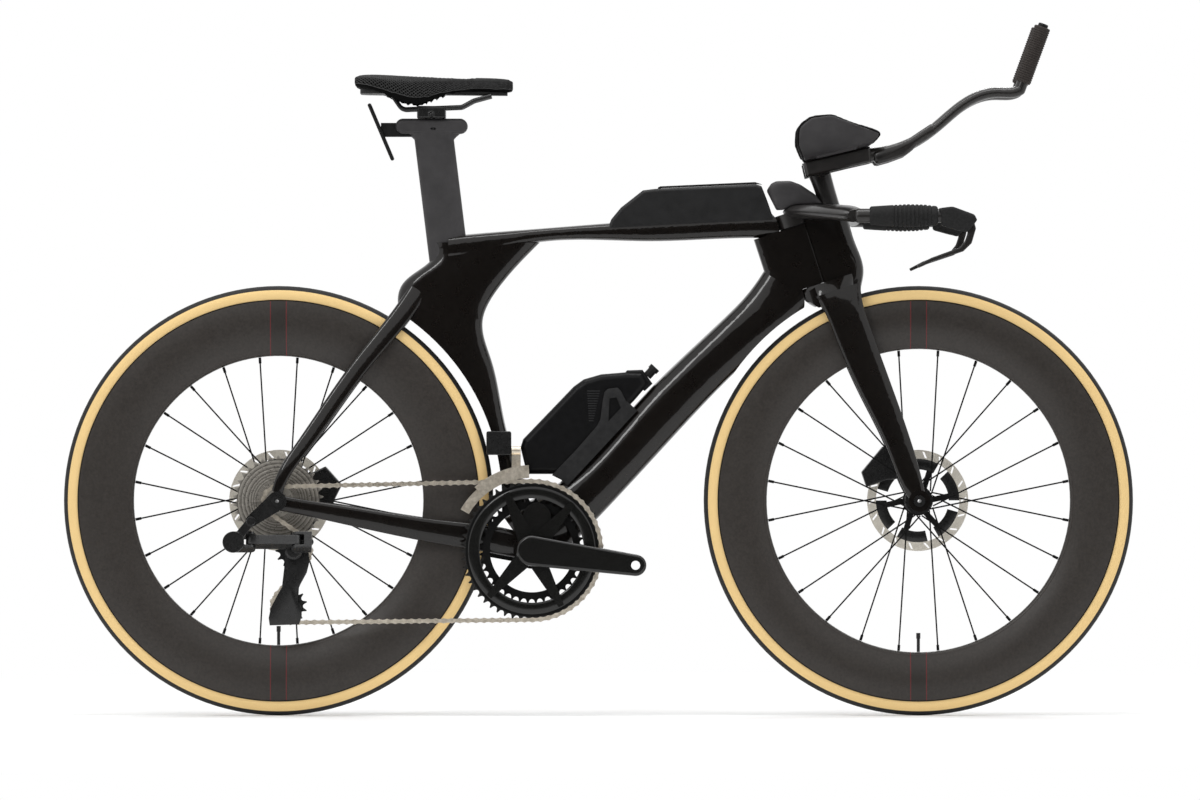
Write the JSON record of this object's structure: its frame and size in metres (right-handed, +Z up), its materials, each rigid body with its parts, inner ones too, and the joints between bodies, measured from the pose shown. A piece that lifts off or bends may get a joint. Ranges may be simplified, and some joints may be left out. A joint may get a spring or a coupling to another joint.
{
  "type": "time trial bicycle",
  "caption": "Time trial bicycle with deep rims, disc brakes, aerofoil frame tubes, a flat base bar with forearm rests and extensions, a chain drive and a bottle in the frame.",
  "frame": {"origin": "on the ground, midway between the wheel axles, in the bicycle's middle plane", "axes": "+X forward, +Y to the rider's left, +Z up"},
  "size_m": [1.688, 0.4392, 1.0919],
  "materials": {
    "frame_paint": "gloss black lacquer over composite",
    "matte_composite": "satin dark grey composite",
    "saddle_foam": "matt black lattice",
    "pad_foam": "matt black foam",
    "grip_rubber": "matt black rubber",
    "black_alloy": "gloss black anodised",
    "small_plastic": "matt black",
    "bright_steel": "brushed steel",
    "rim_composite": "satin carbon composite",
    "tyre_rubber": "black tread with tan side walls",
    "bottle_plastic": "satin black"
  },
  "bodies": {
    "frame": {"main_frame": "frame_paint", "seat_stays": "frame_paint", "chain_stays": "frame_paint", "derailleur_hanger": "black_alloy", "bottom_bracket": "black_alloy", "headset_bearings": "black_alloy", "bottle_cage": "matte_composite", "storage_box": "matte_composite", "rear_caliper": "black_alloy", "rear_axle": "black_alloy", "front_derailleur": "black_alloy", "derailleur_body": "black_alloy", "chain": "bright_steel"},
    "seat": {"seatpost": "matte_composite", "saddle_clamp": "black_alloy", "saddle_rails": "black_alloy", "saddle_base": "matte_composite", "saddle_cover": "saddle_foam", "rear_bracket": "matte_composite"},
    "storage_lid": {"storage_lid": "matte_composite"},
    "bottle": {"bottle": "bottle_plastic"},
    "bottle_valve": {"bottle_valve": "small_plastic"},
    "front_derailleur_cage": {"front_derailleur_cage": "bright_steel"},
    "derailleur_links": {"derailleur_links": "black_alloy"},
    "derailleur_knuckle": {"derailleur_knuckle": "black_alloy"},
    "derailleur_cage": {"derailleur_cage": "black_alloy"},
    "guide_pulley": {"guide_pulley": "small_plastic"},
    "tension_pulley": {"tension_pulley": "small_plastic"},
    "crank": {"right_crank": "black_alloy", "left_crank": "black_alloy", "chainrings": "black_alloy"},
    "cassette": {"cassette": "bright_steel"},
    "rear_wheel": {"rear_tyre": "tyre_rubber", "rear_rim": "rim_composite", "rear_spokes": "black_alloy", "rear_hub": "black_alloy", "rear_rotor": "bright_steel", "rear_valve": "black_alloy"},
    "steering": {"fork": "frame_paint", "base_bar": "matte_composite", "stem_cover": "matte_composite", "bar_grips": "grip_rubber", "lever_bodies": "black_alloy", "aero_riser": "matte_composite", "arm_cups": "matte_composite", "arm_pads": "pad_foam", "extensions": "matte_composite", "extension_grips": "grip_rubber", "front_caliper": "black_alloy", "front_axle": "black_alloy"},
    "right_brake_lever": {"right_brake_lever": "black_alloy"},
    "left_brake_lever": {"left_brake_lever": "black_alloy"},
    "right_shift_button": {"right_shift_button": "small_plastic"},
    "left_shift_button": {"left_shift_button": "small_plastic"},
    "front_wheel": {"front_tyre": "tyre_rubber", "front_rim": "rim_composite", "front_spokes": "black_alloy", "front_hub": "black_alloy", "front_rotor": "bright_steel", "front_valve": "black_alloy"}
  },
  "joints": [
    {"name": "steering_turn", "type": "hinge", "parent": "frame", "child": "steering", "pos_m": [0.45032, 0, 0.339], "axis": [-0.309, 0, 0.9511], "range_deg": [-35, 35]},
    {"name": "front_wheel_spin", "type": "hinge", "parent": "steering", "child": "front_wheel", "pos_m": [0.505, 0, 0.339], "axis": [0, 1, 0], "continuous": true},
    {"name": "rear_wheel_spin", "type": "hinge", "parent": "frame", "child": "rear_wheel", "pos_m": [-0.505, 0, 0.339], "axis": [0, 1, 0], "continuous": true},
    {"name": "crank_spin", "type": "hinge", "parent": "frame", "child": "crank", "pos_m": [-0.105, 0, 0.261], "axis": [0, 1, 0], "continuous": true, "deforming": ["chain"]},
    {"name": "cassette_spin", "type": "hinge", "parent": "frame", "child": "cassette", "pos_m": [-0.505, 0, 0.339], "axis": [0, 1, 0], "continuous": true},
    {"name": "derailleur_swing", "type": "hinge", "parent": "frame", "child": "derailleur_links", "pos_m": [-0.546, -0.092, 0.275], "axis": [0, 0.5736, 0.8192], "range_deg": [0, 38], "deforming": ["chain"]},
    {"name": "knuckle_swing", "type": "hinge", "parent": "derailleur_links", "child": "derailleur_knuckle", "pos_m": [-0.474, -0.092, 0.275], "axis": [0, 0.5736, 0.8192], "range_deg": [-38, 0]},
    {"name": "cage_swing", "type": "hinge", "parent": "derailleur_knuckle", "child": "derailleur_cage", "pos_m": [-0.479, -0.06, 0.261], "axis": [0, 1, 0], "range_deg": [-25, 25], "deforming": ["chain"]},
    {"name": "guide_pulley_spin", "type": "hinge", "parent": "derailleur_cage", "child": "guide_pulley", "pos_m": [-0.479, -0.06, 0.261], "axis": [0, 1, 0], "continuous": true},
    {"name": "tension_pulley_spin", "type": "hinge", "parent": "derailleur_cage", "child": "tension_pulley", "pos_m": [-0.4872, -0.06, 0.17439], "axis": [0, 1, 0], "continuous": true},
    {"name": "front_derailleur_swing", "type": "hinge", "parent": "frame", "child": "front_derailleur_cage", "pos_m": [-0.137, -0.0344, 0.418], "axis": [1, 0, 0], "range_deg": [0, 7], "deforming": ["chain"]},
    {"name": "seatpost_slide", "type": "slide", "parent": "frame", "child": "seat", "axis": [-0.1219, 0, 0.9925], "range_m": [-0.03, 0.05]},
    {"name": "storage_lid_hinge", "type": "hinge", "parent": "frame", "child": "storage_lid", "pos_m": [0.0963, 0, 0.83187], "axis": [0, -1, 0], "range_deg": [0, 80]},
    {"name": "bottle_slide", "type": "slide", "parent": "frame", "child": "bottle", "axis": [0.681, 0, 0.7323], "range_m": [0, 0.12]},
    {"name": "bottle_valve_slide", "type": "slide", "parent": "bottle", "child": "bottle_valve", "axis": [0.681, 0, 0.7323], "range_m": [0, 0.004]},
    {"name": "right_brake_lever_pull", "type": "hinge", "parent": "steering", "child": "right_brake_lever", "pos_m": [0.58013, -0.203, 0.7712], "axis": [0, 1, 0], "range_deg": [0, 25], "stiffness_Nm_per_rad": 0.3, "springref_deg": -5.73},
    {"name": "left_brake_lever_pull", "type": "hinge", "parent": "steering", "child": "left_brake_lever", "pos_m": [0.58013, 0.203, 0.7712], "axis": [0, 1, 0], "range_deg": [0, 25], "stiffness_Nm_per_rad": 0.3, "springref_deg": -5.73},
    {"name": "right_shift_button_press", "type": "slide", "parent": "steering", "child": "right_shift_button", "axis": [-0.342, 0, -0.9397], "range_m": [0, 0.002], "stiffness_N_per_m": 500, "springref_m": -0.001},
    {"name": "left_shift_button_press", "type": "slide", "parent": "steering", "child": "left_shift_button", "axis": [-0.342, 0, -0.9397], "range_m": [0, 0.002], "stiffness_N_per_m": 500, "springref_m": -0.001}
  ],
  "couplings": [
    {"joint": "cassette_spin", "follows": "crank_spin", "ratio": 4.9091},
    {"joint": "guide_pulley_spin", "follows": "crank_spin", "ratio": -4.1538},
    {"joint": "tension_pulley_spin", "follows": "crank_spin", "ratio": 4.1538},
    {"joint": "knuckle_swing", "follows": "derailleur_swing", "ratio": -1}
  ]
}
